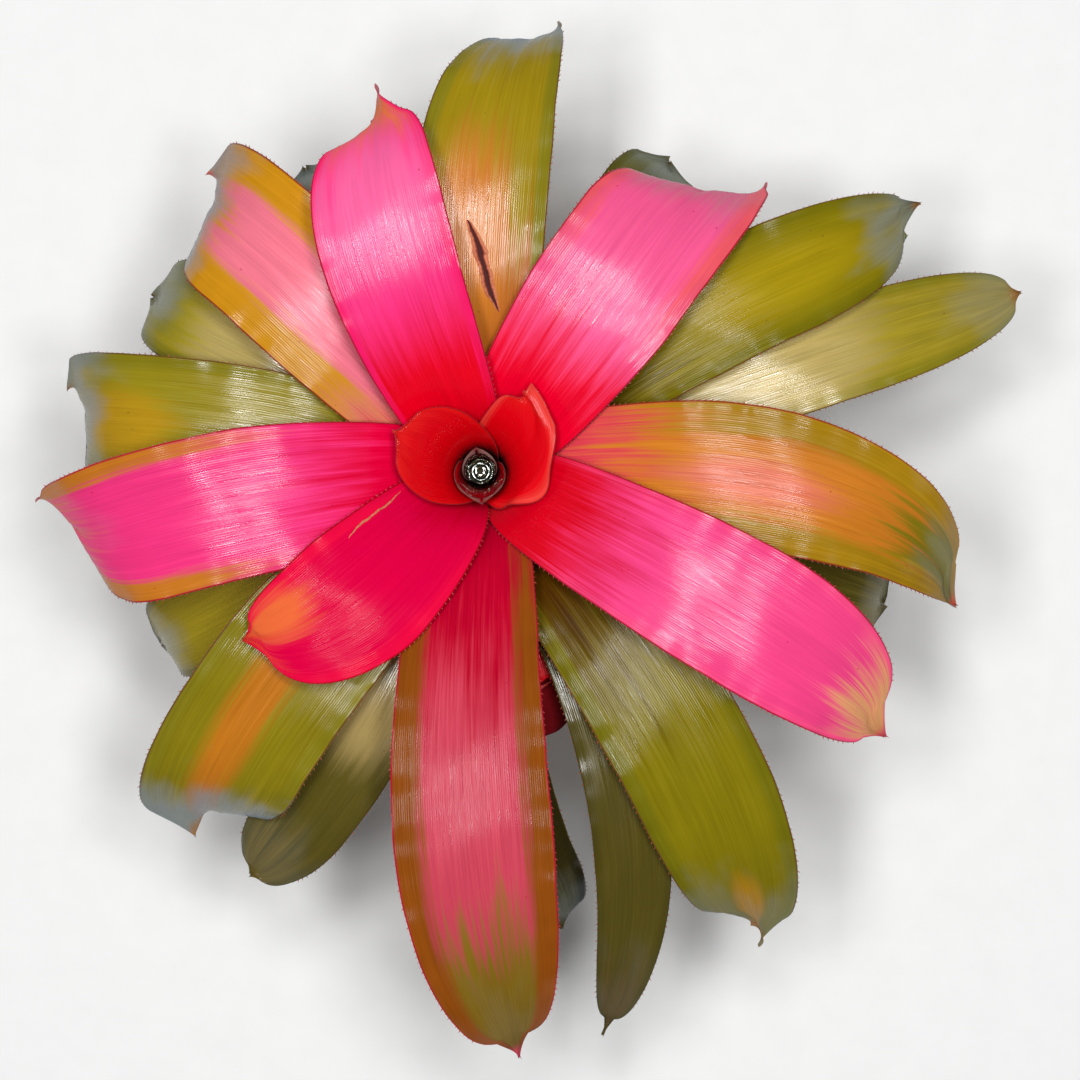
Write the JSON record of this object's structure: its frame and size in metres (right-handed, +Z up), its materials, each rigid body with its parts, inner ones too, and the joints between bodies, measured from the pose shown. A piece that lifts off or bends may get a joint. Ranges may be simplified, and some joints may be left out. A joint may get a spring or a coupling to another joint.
{
  "type": "potted bromeliad",
  "caption": "Low, broad-leaved bromeliad rosette, red at the heart and olive outside, holding water in its central cup, planted in a plain round clay pot",
  "frame": {"origin": "middle of the flat underside of the pot, on the pot's axis, which is also the axis of the rosette", "axes": "+Z up along the pot's axis; seen from above, +X is to the right and +Y is up the page of the plan view, with the long olive leaf that ends the rosette at about azimuth 80 degrees"},
  "size_m": [0.4315, 0.4515, 0.2402],
  "materials": {
    "pot": "matt fired clay",
    "mix": "loose bark-based potting mix, rough and matt",
    "stem": "fibrous, matt",
    "water": "clear still water",
    "heart": "waxy leaf, dark red, glossy",
    "red": "waxy leaf, bright red, glossy",
    "pink": "waxy leaf, red base turning hot pink, glossy",
    "orange": "waxy leaf, pink and orange over olive, glossy",
    "olive": "waxy leaf, olive green, glossy",
    "dark": "waxy leaf, dark olive, satin",
    "torn": "waxy leaf, red, satin, torn across",
    "shaded": "waxy leaf, dark red, satin"
  },
  "bodies": {
    "root": {"pot": "pot", "potting_mix": "mix", "stem": "stem", "water": "water", "leaf_01_heart": "heart", "leaf_02_heart": "heart", "leaf_03_cup": "red", "leaf_04_cup": "red", "leaf_05_red": "red", "leaf_06_pink": "pink", "leaf_07_pink": "pink", "leaf_08_pink": "pink", "leaf_09_pink": "pink", "leaf_10_pink": "pink", "leaf_11_orange": "orange", "leaf_12_orange": "orange", "leaf_13_olive": "olive", "leaf_14_olive": "olive", "leaf_15_olive": "olive", "leaf_16_olive": "olive", "leaf_17_olive": "olive", "leaf_18_dark": "dark", "leaf_19_dark": "dark", "leaf_20_dark": "dark", "leaf_21_olive": "olive", "leaf_22_dark": "dark", "leaf_23_torn": "torn", "leaf_24_dark": "dark", "leaf_25_dark": "dark", "leaf_26_dark": "dark", "leaf_27_shaded": "shaded", "leaf_28_dark": "dark"}
  },
  "joints": []
}
